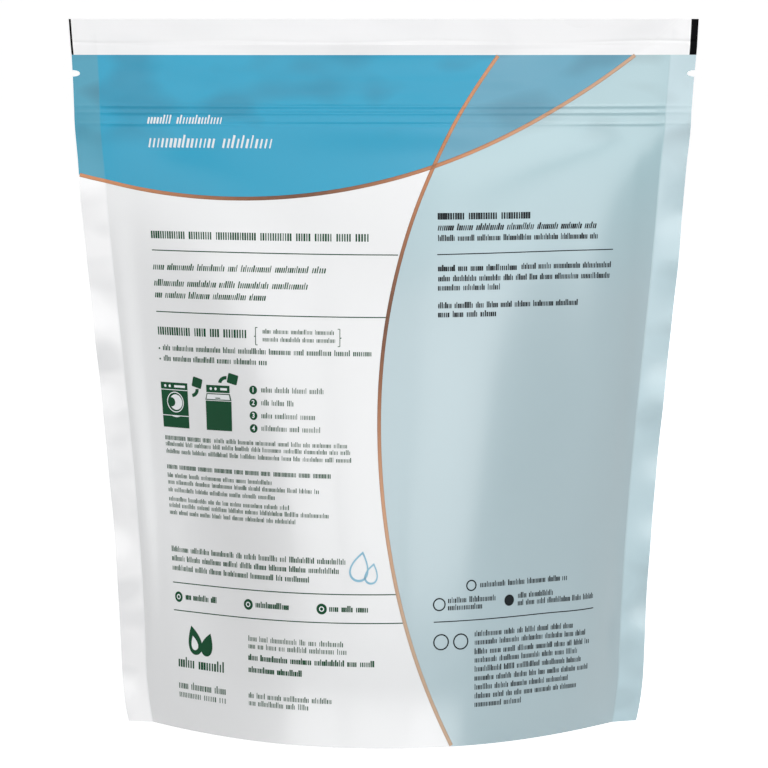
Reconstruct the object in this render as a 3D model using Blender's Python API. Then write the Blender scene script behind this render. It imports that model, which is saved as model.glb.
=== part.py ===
"""Laundry booster pod bag: a filled and sealed stand-up pouch of laminated film.

Two film panels are sealed along both sides and across the top, and a third film, folded in
at the bottom, opens into a gusset that the pouch stands on. The pods inside push the panels
apart. The film doesn't stretch, so each level is bent and not scaled: the fuller the pouch is
there, the narrower it stands. Metres, +Z up, the printed panel faces -Y, and the origin is
under the middle of the pouch, on the surface that it stands on.
"""

import math

import bpy
import bmesh

# Flat film
POUCH_WIDTH = 0.203          # seal edge to seal edge, before filling
POUCH_HEIGHT = 0.2305
SIDE_SEAL = 0.0087           # width of the fused strip down each side
SEAL_THICKNESS = 0.0005      # two films fused together
HEADER_SEAL = 0.0085         # from the top edge to where the films part

# Filling
BELLY_DEPTH = 0.0457         # how far the contents push each panel out, low down
BELLY_SHAPE = 0.70           # under 1, the pouch fills out fast below the header
FOOT_FLARE = 0.0025          # the panel's foot kicks out by this much past the belly
FOOT_FLARE_HEIGHT = 0.020
BEND_EASE = 1.4              # over 0, a panel bends more near its middle than near its seals

# Side seals
SEAL_SWEEP_DEG = 17.0        # the seals lean back by this much at the foot
SEAL_RIPPLE_DEG = 7.0        # and wave to and fro by this much
SEAL_RIPPLE_LENGTH = 0.031

# Press-to-close zipper, pressed into relief through both panels
ZIPPER_DROP = 0.0302         # from the top edge to the middle rib
ZIPPER_RIB_PITCH = 0.0021
ZIPPER_FLANGE_DROP = 0.0036  # from the middle rib down to the lower weld line
ZIPPER_RIB_HEIGHT = 0.0005
ZIPPER_RIB_HALF_WIDTH = 0.0009
ZIPPER_STIFFNESS = 0.30      # share of the bulge that the stiff strip holds flat
ZIPPER_REACH = 0.011

# Tear notches
NOTCH_DROP = 0.0176          # from the top edge to the notch's middle
NOTCH_DEPTH = 0.0024
NOTCH_HEIGHT = 0.0021

# Gusset under the pouch
SKIRT_RISE = 0.0030          # the gusset film lies this far above the rim's edge
TENT_RISE = 0.0110           # and rises to this towards the side seals
TENT_START = 0.045           # half width at which that rise begins
TENT_SLOPE = 0.55            # the rise is no more than this share of the half depth there
PATCH_HALF_WIDTH = 0.036     # flat patch that the contents press onto the floor
PATCH_HALF_DEPTH = 0.020
PATCH_FADE = 1.7             # the patch has blended into the recess at this many radii

# Facets
ROWS = 30
PANEL_COLUMNS = 14           # from the middle of a panel to its seal
SEAL_COLUMNS = 2
GUSSET_STEPS = (1.0, 0.96, 0.88, 0.76, 0.60, 0.42, 0.22, 0.0)
BEND_STEPS = 60
SOLVE_STEPS = 40

FILM_COLOUR = (0.82, 0.87, 0.89, 1.0)
FILM_ROUGHNESS = 0.38

PANEL_HALF = POUCH_WIDTH / 2 - SIDE_SEAL
BULGE_TOP = POUCH_HEIGHT - HEADER_SEAL
ZIPPER_LEVEL = POUCH_HEIGHT - ZIPPER_DROP
RIB_LEVELS = (
    ZIPPER_LEVEL + ZIPPER_RIB_PITCH,
    ZIPPER_LEVEL,
    ZIPPER_LEVEL - ZIPPER_FLANGE_DROP,
)


def smoothstep(low, high, value):
    """0 below low, 1 above high and an even ease between them."""
    t = min(1.0, max(0.0, (value - low) / (high - low)))
    return t * t * (3 - 2 * t)


def bulge(level):
    """How far the middle of each panel stands from the seals' plane at a level."""
    filled = max(0.0, (BULGE_TOP - level) / BULGE_TOP)
    depth = BELLY_DEPTH * math.sin(math.pi / 2 * filled) ** BELLY_SHAPE
    held = ZIPPER_STIFFNESS * math.exp(-(((level - ZIPPER_LEVEL) / ZIPPER_REACH) ** 2))
    foot = max(0.0, 1 - level / FOOT_FLARE_HEIGHT)
    return depth * (1 - held) + FOOT_FLARE * foot * foot


def bend(total_angle):
    """The places along half a panel that turns by total_angle, and how far it reaches in depth."""
    places = [(0.0, 0.0)]
    step = PANEL_HALF / BEND_STEPS
    for i in range(BEND_STEPS):
        along = (i + 0.5) / BEND_STEPS
        angle = total_angle * math.tanh(BEND_EASE * along) / math.tanh(BEND_EASE)
        x, y = places[-1]
        places.append((x + step * math.cos(angle), y + step * math.sin(angle)))
    return places


def half_section(depth):
    """Points from the middle of a panel to its seal as (x, distance from the seals' plane)."""
    low, high = 0.0, math.pi / 2
    for _ in range(SOLVE_STEPS):
        middle = (low + high) / 2
        if bend(middle)[-1][1] < depth:
            low = middle
        else:
            high = middle
    places = bend(low)
    section = []
    for i in range(PANEL_COLUMNS + 1):
        at = i / PANEL_COLUMNS * BEND_STEPS
        k = min(int(at), BEND_STEPS - 1)
        part = at - k
        x = places[k][0] + (places[k + 1][0] - places[k][0]) * part
        y = places[k][1] + (places[k + 1][1] - places[k][1]) * part
        section.append((x, max(0.0, depth - y)))
    return section


def rib_relief(level):
    """How far the zipper lifts the film at a level."""
    nearest = min(abs(level - rib) for rib in RIB_LEVELS)
    return ZIPPER_RIB_HEIGHT * max(0.0, 1 - nearest / ZIPPER_RIB_HALF_WIDTH)


def seal_angle(level, side):
    """The angle at which a side seal stands out of the seals' plane at a level."""
    lower = 1 - level / POUCH_HEIGHT
    wave = math.sin(2 * math.pi * level / SEAL_RIPPLE_LENGTH + side)
    ripple = SEAL_RIPPLE_DEG * wave * smoothstep(0.0, 0.25, lower)
    return math.radians(SEAL_SWEEP_DEG * lower + ripple)


def row_points(level):
    """One level of both panels: {column: (front point, back point)}, from the left seal to the right."""
    section = half_section(bulge(level))
    points = {}
    for side in (-1, 1):
        for i, (x, depth) in enumerate(section):
            lift = rib_relief(level) if 0 < depth else 0.0
            y = depth + SEAL_THICKNESS / 2 + lift
            points[side * i] = ((side * x, -y, level), (side * x, y, level))
        root = section[-1][0]
        angle = seal_angle(level, side)
        for k in range(1, SEAL_COLUMNS + 1):
            out = SIDE_SEAL * k / SEAL_COLUMNS
            x = side * (root + out * math.cos(angle))
            y = out * math.sin(angle)
            half = SEAL_THICKNESS / 2
            points[side * (PANEL_COLUMNS + k)] = ((x, y - half, level), (x, y + half, level))
    return points


def levels():
    """The heights of the rows: even ones, closer at the foot, and the crests and feet of the ribs."""
    heights = {POUCH_HEIGHT, BULGE_TOP}
    highest = ZIPPER_LEVEL + ZIPPER_RIB_PITCH + 2 * ZIPPER_RIB_HALF_WIDTH
    lowest = RIB_LEVELS[-1] - 2 * ZIPPER_RIB_HALF_WIDTH
    for i in range(ROWS + 1):
        level = BULGE_TOP * (i / ROWS) ** 1.15
        if not lowest < level < highest:
            heights.add(level)
    for rib in RIB_LEVELS:
        heights.update((rib - ZIPPER_RIB_HALF_WIDTH, rib, rib + ZIPPER_RIB_HALF_WIDTH))
    return sorted(heights)


def gusset_height(x, half_depth, step):
    """Height of the gusset film over the floor, at x and at a share of the half depth there."""
    tent = smoothstep(TENT_START, PANEL_HALF, abs(x))
    rise = SKIRT_RISE + (TENT_RISE - SKIRT_RISE) * tent
    rise = min(rise, TENT_SLOPE * half_depth)
    from_rim = smoothstep(1 - GUSSET_STEPS[1], 1 - GUSSET_STEPS[3], 1 - abs(step))
    radius = math.hypot(x / PATCH_HALF_WIDTH, step * half_depth / PATCH_HALF_DEPTH)
    return rise * from_rim * smoothstep(1.0, PATCH_FADE, radius)


def add_gusset(mesh, rim_front, rim_back):
    """The underside: a film from the front rim to the back rim, pressed flat in the middle."""
    steps = [-s for s in GUSSET_STEPS] + list(reversed(GUSSET_STEPS[:-1]))
    chains = {}
    for i in range(-PANEL_COLUMNS + 1, PANEL_COLUMNS):
        x, front_y = rim_front[i].co.x, rim_front[i].co.y
        chain = [rim_front[i]]
        for step in steps[1:-1]:
            height = gusset_height(x, -front_y, step)
            chain.append(mesh.verts.new((x, -front_y * step, height)))
        chain.append(rim_back[i])
        chains[i] = chain
    for i in range(-PANEL_COLUMNS + 1, PANEL_COLUMNS - 1):
        near, far = chains[i], chains[i + 1]
        for k in range(len(near) - 1):
            mesh.faces.new((near[k], near[k + 1], far[k + 1], far[k]))
    for side in (-1, 1):
        chain = chains[side * (PANEL_COLUMNS - 1)]
        end = side * PANEL_COLUMNS
        middle = len(chain) // 2
        for k in range(len(chain) - 1):
            corner = rim_front[end] if k < middle else rim_back[end]
            mesh.faces.new((chain[k], chain[k + 1], corner))
        mesh.faces.new((chain[middle], rim_front[end], rim_back[end]))
        for i in range(PANEL_COLUMNS, PANEL_COLUMNS + SEAL_COLUMNS):
            a, b = side * i, side * (i + 1)
            mesh.faces.new((rim_front[a], rim_front[b], rim_back[b], rim_back[a]))


def pouch_mesh():
    """The closed skin of the filled pouch."""
    mesh = bmesh.new()
    last = PANEL_COLUMNS + SEAL_COLUMNS
    front, back = [], []
    for level in levels():
        points = row_points(level)
        front.append({i: mesh.verts.new(points[i][0]) for i in range(-last, last + 1)})
        back.append({i: mesh.verts.new(points[i][1]) for i in range(-last, last + 1)})
    for sheet in (front, back):
        for low, high in zip(sheet, sheet[1:]):
            for i in range(-last, last):
                mesh.faces.new((low[i], low[i + 1], high[i + 1], high[i]))
    for j in range(len(front) - 1):
        for i in (-last, last):
            mesh.faces.new((front[j][i], front[j + 1][i], back[j + 1][i], back[j][i]))
    for i in range(-last, last):
        mesh.faces.new((front[-1][i], front[-1][i + 1], back[-1][i + 1], back[-1][i]))
    add_gusset(mesh, front[0], back[0])
    bmesh.ops.recalc_face_normals(mesh, faces=mesh.faces)
    data = bpy.data.meshes.new("pouch")
    mesh.to_mesh(data)
    mesh.free()
    return data


def notch_cutter(side):
    """A round-ended bar that cuts one tear notch into a side seal."""
    mesh = bmesh.new()
    bmesh.ops.create_cone(
        mesh, cap_ends=True, segments=20, radius1=1.0, radius2=1.0, depth=1.0
    )
    data = bpy.data.meshes.new("notch_cutter")
    mesh.to_mesh(data)
    mesh.free()
    cutter = bpy.data.objects.new("notch_cutter_" + ("left" if side < 0 else "right"), data)
    bpy.context.scene.collection.objects.link(cutter)
    cutter.scale = (NOTCH_DEPTH, NOTCH_HEIGHT / 2, 10 * SIDE_SEAL)
    cutter.rotation_euler = (math.pi / 2, 0, 0)
    cutter.location = (side * POUCH_WIDTH / 2, 0, POUCH_HEIGHT - NOTCH_DROP)
    cutter.hide_render = True
    cutter.display_type = "WIRE"
    return cutter


def film_material():
    material = bpy.data.materials.new("laminated_film")
    material.use_nodes = True
    shader = material.node_tree.nodes["Principled BSDF"]
    shader.inputs["Base Color"].default_value = FILM_COLOUR
    shader.inputs["Roughness"].default_value = FILM_ROUGHNESS
    shader.inputs["Metallic"].default_value = 0.0
    return material


def main():
    for old in list(bpy.data.objects):
        bpy.data.objects.remove(old)
    pouch = bpy.data.objects.new("pouch", pouch_mesh())
    bpy.context.scene.collection.objects.link(pouch)
    pouch.data.materials.append(film_material())
    for side in (-1, 1):
        cut = pouch.modifiers.new("tear_notch", "BOOLEAN")
        cut.operation = "DIFFERENCE"
        cut.solver = "EXACT"
        cut.object = notch_cutter(side)
    pouch.data.shade_smooth()
    pouch.data.set_sharp_from_angle(angle=math.radians(35))


main()
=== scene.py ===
# %% [markdown]
# A filled stand-up pouch for laundry booster pods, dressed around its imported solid.
# The real pouch is two printed film panels, sealed down both sides and across the top, with a
# folded gusset below. The solid already has the right size, so this script gives it a finer
# skin, its print and its finish, and then lights it and looks at it as a product picture would.

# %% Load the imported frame
import math
import random

import bmesh
import bpy
import numpy as np
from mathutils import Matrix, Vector


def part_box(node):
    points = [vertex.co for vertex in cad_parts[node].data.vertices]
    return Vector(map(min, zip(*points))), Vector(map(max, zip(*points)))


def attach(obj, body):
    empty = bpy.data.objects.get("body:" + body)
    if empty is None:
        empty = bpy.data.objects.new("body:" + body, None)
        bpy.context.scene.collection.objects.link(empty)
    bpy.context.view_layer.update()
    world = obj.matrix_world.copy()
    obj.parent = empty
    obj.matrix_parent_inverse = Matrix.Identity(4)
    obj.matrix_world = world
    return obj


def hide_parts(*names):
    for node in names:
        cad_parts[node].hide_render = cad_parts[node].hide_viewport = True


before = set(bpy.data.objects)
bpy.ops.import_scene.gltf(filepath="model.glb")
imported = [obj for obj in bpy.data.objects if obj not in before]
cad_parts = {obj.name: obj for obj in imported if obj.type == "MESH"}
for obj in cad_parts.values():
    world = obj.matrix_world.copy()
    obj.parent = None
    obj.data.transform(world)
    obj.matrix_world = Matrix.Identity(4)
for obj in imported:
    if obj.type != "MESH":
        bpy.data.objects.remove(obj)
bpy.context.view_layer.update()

low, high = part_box("pouch")
print("packed pouch, in millimetres:", [round(1000 * s, 1) for s in high - low])

# %% [markdown]
# Film doesn't stretch. Each level of the pouch is therefore the same strip of film, bent more
# where the pods push harder, and the pouch gets narrower where it is fuller. Everything below is
# placed by two film coordinates: across, from the middle of a panel towards the right, and up,
# from the foot. Working on the flat film and bending it last keeps print and creases together.

# %% Sizes of the pouch
MM = 0.001
WIDTH = high.x - low.x
HEIGHT = high.z - low.z
SIDE_SEAL = 8.7 * MM
FILM = 0.5 * MM  # both films, fused
PANEL_HALF = WIDTH / 2 - SIDE_SEAL
BULGE_TOP = HEIGHT - 8.5 * MM  # the films part below this level
BELLY_DEPTH = 45.7 * MM
BELLY_SHAPE = 0.70
FOOT_FLARE = 2.5 * MM
FOOT_FLARE_HEIGHT = 20 * MM
BEND_EASE = 1.4
ZIPPER = HEIGHT - 30.2 * MM
ZIPPER_STIFFNESS = 0.30
ZIPPER_REACH = 11 * MM
NOTCH_LEVEL = HEIGHT - 17.6 * MM
NOTCH_DEPTH = 2.4 * MM
NOTCH_HALF_HEIGHT = 1.05 * MM
SEAL_SWEEP = math.radians(17)  # the seals lean back by this much at the foot
SEAL_RIPPLE = math.radians(7)
SEAL_RIPPLE_LENGTH = 43 * MM
SEAL_RIPPLE_FADE = 0.25  # share of the height, from the top, where it sets in
# length as a share of that, phase and strength of each wave
SEAL_WAVES = ((1.0, 1.7, 0.8), (0.57, 3.0, 0.5))


def ease(start, end, value):
    """0 before start, 1 after end and smooth between, on numbers or arrays."""
    t = np.clip((value - start) / (end - start), 0, 1)
    return t * t * (3 - 2 * t)


def hump(value, middle, reach):
    """A soft bell of height 1."""
    return np.exp(-(((value - middle) / reach) ** 2))


# %% How far the pods push a panel out, and how the panel bends
MOST_BEND = 1.6  # radians
BEND_COUNT = 161
FILM_STEPS = 60  # from the middle of a panel to its seal
BENDS = np.linspace(0, MOST_BEND, BEND_COUNT)
SHARE = (np.arange(FILM_STEPS) + 0.5) / FILM_STEPS
TURN = BENDS[:, None] * np.tanh(BEND_EASE * SHARE) / math.tanh(BEND_EASE)
STEP = PANEL_HALF / len(SHARE)
REACH_X = np.pad(np.cumsum(np.cos(TURN) * STEP, axis=1), ((0, 0), (1, 0)))
REACH_Y = np.pad(np.cumsum(np.sin(TURN) * STEP, axis=1), ((0, 0), (1, 0)))


def bulge(up):
    """Distance from the seals' plane to the middle of a panel."""
    filled = np.clip((BULGE_TOP - up) / BULGE_TOP, 0, 1)
    depth = BELLY_DEPTH * np.sin(math.pi / 2 * filled) ** BELLY_SHAPE
    foot = FOOT_FLARE * np.clip(1 - up / FOOT_FLARE_HEIGHT, 0, 1) ** 2
    return depth * (1 - ZIPPER_STIFFNESS * hump(up, ZIPPER, ZIPPER_REACH)) + foot


def between(table, row, column):
    """Reads a table between its rows and columns."""
    r = np.clip(row.astype(int), 0, table.shape[0] - 2)
    c = np.clip(column.astype(int), 0, table.shape[1] - 2)
    fr, fc = row - r, column - c
    near = table[r, c] * (1 - fc) + table[r, c + 1] * fc
    far = table[r + 1, c] * (1 - fc) + table[r + 1, c + 1] * fc
    return near * (1 - fr) + far * fr


def seal_wave(up, side):
    """How far a seal's ripple turns it at a level; it doesn't move the outline."""
    waves = sum(
        strength * np.sin(2 * math.pi * up / (share * SEAL_RIPPLE_LENGTH) + phase * side)
        for share, phase, strength in SEAL_WAVES
    )
    return SEAL_RIPPLE * waves * ease(0, SEAL_RIPPLE_FADE, 1 - up / HEIGHT)


# The header of a filled pouch springs open a little, and its shoulders are drawn in: how far
# each side moves to the right at each level.
TRIM_LEVELS = np.array((150, 170, 183, 201, 219, 230.5)) * MM
LEFT_TRIM = np.array((0, 0.1, 0.5, 1.0, 0.7, -0.1)) * MM
RIGHT_TRIM = np.array((0, -0.3, -0.55, -0.75, 0.3, 0.9)) * MM


# %% [markdown]
# Small relief is what makes film look like film: the zipper's two ribs and weld line show
# through it, soft dents lie between the stiff zipper and the flat header, and the fused header
# has a shallow crease. Lower down the film sinks into a wide valley where few pods lie behind
# it, and swells in two low ridges near the right seal. Each is a few named bumps on the flat
# film rather than random noise, so that it sits where it does on the real pouch.

# %% Relief of the film
RIB_HEIGHT = 0.38 * MM
RIB_HALF_WIDTH = 0.55 * MM
RIBS = ((ZIPPER + 2.1 * MM, 1.0), (ZIPPER, 1.0), (ZIPPER - 3.6 * MM, 0.7))
HEADER_CREASE = HEIGHT - 7.4 * MM
CREASE_DEPTH = 0.24 * MM
CREASE_HALF_WIDTH = 0.45 * MM
SEAL_FADE = 3 * MM  # relief dies away over this much beside a seal
RIB_ON_SEAL = 0.15  # share of a rib that shows through the fused seal
LIP_WAVE = 0.35 * MM  # the top edge waves by this much
SLACK_WAVE = 0.22 * MM  # and the plain film by this much
# across, up, reach across, reach up and depth, in millimetres
DENTS = (
    (-76, 212.5, 9, 5.0, 0.9),
    (-59, 209.0, 8, 4.5, 0.8),
    (-20, 206.5, 17, 3.2, 0.7),
    (6, 207.2, 10, 3.0, 0.5),
    (38, 207.0, 15, 3.2, 0.7),
    (56, 212.8, 10, 4.5, 0.8),
    (70, 195.0, 11, 4.0, 0.35),
    (27, 194.0, 12, 4.5, 0.4),
    (-70, 190.0, 14, 6.0, 0.5),
)
# across at the foot, across per unit up, reach across, middle up, reach up and depth; a depth
# under 0 is a ridge
VALLEYS = (
    (-54, -0.15, 22, 66, 66, 7.5),
    (79, 0.0, 14, 118, 56, -2.0),
    (75, 0.0, 14, 30, 28, -2.4),
)
VALLEY_SEAL_FADE = 9 * MM  # a valley ends this far from the seals
VALLEY_FOOT_FADE = 24 * MM  # and from the foot
DRAWN_DOWN = 0.13  # share of its depth by which it draws the film down


def valley(across, up):
    """How far the film sinks between the pods, and under 0 where they push it out."""
    sink = 0.0
    for foot, lean, reach_x, middle, reach_up, depth in VALLEYS:
        spread = hump(across - lean * up, foot * MM, reach_x * MM)
        sink = sink + depth * MM * spread * hump(up, middle * MM, reach_up * MM)
    off_seal = ease(PANEL_HALF, PANEL_HALF - VALLEY_SEAL_FADE, np.abs(across))
    return sink * off_seal * ease(0, VALLEY_FOOT_FADE, up)


def relief(across, up):
    """How far the film stands out from the plain bent panel."""
    inside = ease(PANEL_HALF, PANEL_HALF - SEAL_FADE, np.abs(across))
    lift = sum(RIB_HEIGHT * share * hump(up, level, RIB_HALF_WIDTH) for level, share in RIBS)
    lift = lift * (RIB_ON_SEAL + (1 - RIB_ON_SEAL) * inside)
    for x, y, reach_x, reach_y, depth in DENTS:
        spot = hump(across, x * MM, reach_x * MM) * hump(up, y * MM, reach_y * MM)
        lift = lift - depth * MM * spot * inside
    wander = 0.4 * MM * np.sin(across / (11 * MM))
    broken = 0.55 + 0.45 * np.sin(across / (17 * MM) + 2)
    lift = lift - CREASE_DEPTH * broken * hump(up, HEADER_CREASE + wander, CREASE_HALF_WIDTH)
    lip = ease(HEADER_CREASE, HEIGHT, up)
    lift = lift + LIP_WAVE * lip * np.sin(across / (7.5 * MM)) * np.sin(across / (23 * MM) + 1)
    slack = np.sin(up / (24 * MM) + 1.3 * np.sin(across / (31 * MM)))
    return lift + SLACK_WAVE * slack * np.sin(across / (19 * MM) + up / (60 * MM)) * inside


def film_point(across, up, face):
    """Places on the pouch for film coordinates; face is -1 for the printed panel, else 1."""
    across, up = np.broadcast_arrays(np.asarray(across, float), np.asarray(up, float))
    depth = bulge(up)
    row = np.interp(depth, REACH_Y[:, -1], np.arange(len(BENDS)))
    column = np.minimum(np.abs(across), PANEL_HALF) / STEP
    side = np.where(across < 0, -1.0, 1.0)
    out = np.clip(np.abs(across) - PANEL_HALF, 0, None)
    sweep = SEAL_SWEEP * (1 - up / HEIGHT)
    angle = sweep + seal_wave(up, side)
    x = side * (between(REACH_X, row, column) + out * np.cos(sweep))
    share = np.clip(0.5 + x / WIDTH, 0, 1)
    x = x + np.interp(up, TRIM_LEVELS, LEFT_TRIM) * (1 - share)
    x = x + np.interp(up, TRIM_LEVELS, RIGHT_TRIM) * share
    stand = np.clip(depth - between(REACH_Y, row, column), 0, None)
    sink = valley(across, up)
    lift = (relief(across, up) - sink) * (out < SIDE_SEAL)
    y = out * np.sin(angle) + face * (stand + FILM / 2 + lift)
    return np.stack([x, y, up - DRAWN_DOWN * np.abs(sink)], axis=-1)


def film_normal(across, up, face):
    """The outward direction at film coordinates."""
    d = 0.4 * MM
    along = film_point(across + d, up, face) - film_point(across - d, up, face)
    rise = film_point(across, up + d, face) - film_point(across, up - d, face)
    normal = np.cross(along, rise) * -face
    return normal / np.linalg.norm(normal, axis=-1, keepdims=True)


print("half depth of the pouch at the foot:", round(float(bulge(0.0)) * 1000, 1), "mm")

# %% [markdown]
# The skin is one grid of film for each panel. Its rows crowd together where the relief is fine,
# at the zipper, at the tear notches and at the header's crease, and are wide on the plain body.
# A tear notch is made by drawing the seal's outer edge in over a few close rows, which leaves
# a round-ended bite with clean faces.

# %% Grid of the panels
BODY_ROW = 1.6 * MM
ZIPPER_ROW = 0.25 * MM
SHOULDER_ROW = 1.0 * MM
NOTCH_ROW = 0.15 * MM
HEADER_ROW = 0.6 * MM
CREASE_ROW = 0.2 * MM
CREASE_REACH = 1.2 * MM
SEAL_COLUMN = 0.8 * MM
PANEL_COLUMN = 1.5 * MM


def spaced(start, end, step):
    """Levels from start to end, about a step apart."""
    return np.linspace(start, end, max(2, round((end - start) / step) + 1))


zipper_low, zipper_high = ZIPPER - 5.5 * MM, ZIPPER + 4 * MM
notch_low, notch_high = NOTCH_LEVEL - NOTCH_HALF_HEIGHT, NOTCH_LEVEL + NOTCH_HALF_HEIGHT
rows = np.unique(np.round(np.concatenate([
    spaced(0, zipper_low, BODY_ROW),
    spaced(zipper_low, zipper_high, ZIPPER_ROW),
    spaced(zipper_high, notch_low, SHOULDER_ROW),
    spaced(notch_low, notch_high, NOTCH_ROW),
    spaced(notch_high, HEADER_CREASE - CREASE_REACH, HEADER_ROW),
    spaced(HEADER_CREASE - CREASE_REACH, HEADER_CREASE + CREASE_REACH, CREASE_ROW),
    spaced(HEADER_CREASE + CREASE_REACH, HEIGHT, HEADER_ROW),
]), 7))
columns = np.unique(np.round(np.concatenate([
    spaced(-WIDTH / 2, -PANEL_HALF, SEAL_COLUMN),
    spaced(-PANEL_HALF, PANEL_HALF, PANEL_COLUMN),
    spaced(PANEL_HALF, WIDTH / 2, SEAL_COLUMN),
]), 7))
across, up = np.meshgrid(columns, rows)
bite = 1 - np.clip(((up - NOTCH_LEVEL) / NOTCH_HALF_HEIGHT) ** 2, 0, 1)
seal_share = np.clip(np.abs(across) - PANEL_HALF, 0, None) / SIDE_SEAL
across = across - np.sign(across) * NOTCH_DEPTH * np.sqrt(bite) * seal_share
front = film_point(across, up, -1)
back = film_point(across, up, 1)
print("skin grid:", len(rows), "rows and", len(columns), "columns")

# %% [markdown]
# Underneath, the gusset film runs from the front rim to the back rim. It lies a little above
# the rim's edge, rises like a tent towards each side seal, and in the middle the pods press it
# flat onto the table. It shares the rim's own points, so the skin closes with no seam.

# %% Gusset under the pouch
SKIRT_RISE = 3 * MM
TENT_RISE = 11 * MM
TENT_START = 45 * MM
TENT_SLOPE = 0.55  # the rise is no more than this share of the half depth
FOLD_HEIGHT = 0.5 * MM  # of the middle fold, near the side seals
FOLD_REACH = 0.06
RIM_FADE = (0.04, 0.24)  # shares of the half depth over which the film leaves the rim
PATCH = (36 * MM, 20 * MM)  # half width and half depth of the flat patch
PATCH_FADE = 1.7
GUSSET_STEPS = np.concatenate([[-1, -0.96], np.linspace(-0.9, 0.9, 25), [0.96, 1]])


def gusset_height(x, half_depth, step):
    """Height of the gusset at x; step goes from -1 at the front rim to 1 at the back."""
    tent = ease(TENT_START, PANEL_HALF, abs(x))
    rise = min(SKIRT_RISE + (TENT_RISE - SKIRT_RISE) * tent, TENT_SLOPE * half_depth)
    from_rim = ease(*RIM_FADE, 1 - abs(step))
    fold = FOLD_HEIGHT * hump(step, 0.0, FOLD_REACH) * tent
    radius = math.hypot(x / PATCH[0], step * half_depth / PATCH[1])
    return float((rise + fold) * from_rim * ease(1.0, PATCH_FADE, radius))


# %% Skin mesh
SHARP = math.radians(50)  # steeper edges, and the seals' inner lines, stay crisp


def mesh_data(mesh, name):
    data = bpy.data.meshes.new(name)
    mesh.to_mesh(data)
    mesh.free()
    return data


def link(thing):
    bpy.context.scene.collection.objects.link(thing)


def skin_mesh():
    """Both panels, their edges and the gusset as one closed mesh, with film coordinates as UV."""
    mesh = bmesh.new()
    film = mesh.loops.layers.uv.new("film")
    sheets = [[[mesh.verts.new(p) for p in row] for row in sheet] for sheet in (front, back)]
    place = {}
    for sheet, mirror in zip(sheets, (1, -1)):
        for j, row in enumerate(sheet):
            for i, vert in enumerate(row):
                place[vert] = (mirror * across[j, i] / WIDTH + 0.5, up[j, i] / HEIGHT)
        for below, above in zip(sheet, sheet[1:]):
            for i in range(len(below) - 1):
                mesh.faces.new((below[i], below[i + 1], above[i + 1], above[i]))
    first, second = sheets
    for i in (0, -1):
        for j in range(len(rows) - 1):
            mesh.faces.new((first[j][i], first[j + 1][i], second[j + 1][i], second[j][i]))
    for i in range(len(columns) - 1):
        mesh.faces.new((first[-1][i], first[-1][i + 1], second[-1][i + 1], second[-1][i]))
    chains = []
    for i in range(len(columns)):
        a, b = first[0][i], second[0][i]
        chain = [a]
        if abs(columns[i]) < PANEL_HALF - 0.1 * MM:
            for step in GUSSET_STEPS[1:-1]:
                height = gusset_height(a.co.x, b.co.y, step)
                chain.append(mesh.verts.new((a.co.x, b.co.y * step, height)))
        chains.append(chain + [b])
    underside = []
    for near, far in zip(chains, chains[1:]):
        if len(near) == len(far):
            for k in range(len(near) - 1):
                underside.append(mesh.faces.new((near[k], near[k + 1], far[k + 1], far[k])))
            continue
        long, short = (near, far) if len(near) > len(far) else (far, near)
        middle = len(long) // 2
        for k in range(len(long) - 1):
            corner = short[0] if k < middle else short[1]
            underside.append(mesh.faces.new((long[k], long[k + 1], corner)))
        underside.append(mesh.faces.new((long[middle], short[0], short[1])))
    for face in underside:
        face.material_index = 1
    bmesh.ops.recalc_face_normals(mesh, faces=mesh.faces)
    seal_columns = [i for i, x in enumerate(columns) if abs(abs(x) - PANEL_HALF) < 0.01 * MM]
    seal_line = {row[i] for sheet in sheets for row in sheet for i in seal_columns}
    for edge in mesh.edges:
        on_seal = all(vert in seal_line for vert in edge.verts)
        edge.smooth = not on_seal and edge.calc_face_angle(0.0) < SHARP
    for face in mesh.faces:
        face.smooth = True
        for loop in face.loops:
            loop[film].uv = place.get(loop.vert, (0.5, 0.0))
    return mesh_data(mesh, "pouch_film")


def add_piece(name, data, *materials):
    piece = bpy.data.objects.new(name, data)
    link(piece)
    piece.data.materials.clear()
    for material in materials:
        piece.data.materials.append(material)
    return piece


skin = skin_mesh()
print("skin:", len(skin.polygons), "faces")

# %% [markdown]
# Node trees are easier to read as arithmetic. This small class wraps a socket, so that a * b
# or 1 - mask adds the Math nodes, in shaders and in Geometry Nodes alike.

# %% Arithmetic on sockets
class Socket:
    def __init__(self, nodes, out):
        self.nodes, self.out = nodes, out

    def maths(self, operation, *values):
        inputs = dict(enumerate((self, *values)))
        return self.nodes.add("ShaderNodeMath", {"operation": operation}, inputs)

    def __add__(self, other):
        return self.maths("ADD", other)

    def __sub__(self, other):
        return self.maths("SUBTRACT", other)

    def __mul__(self, other):
        return self.maths("MULTIPLY", other)

    def __rsub__(self, other):
        return self.maths("MULTIPLY", -1.0).maths("ADD", other)

    __radd__ = __add__
    __rmul__ = __mul__

    def above(self, edge, softness):
        """0 below an edge and 1 above it, with a soft step of that width."""
        return ((self - edge) * (1 / softness) + 0.5).maths("MINIMUM", 1.0).maths("MAXIMUM", 0.0)


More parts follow.
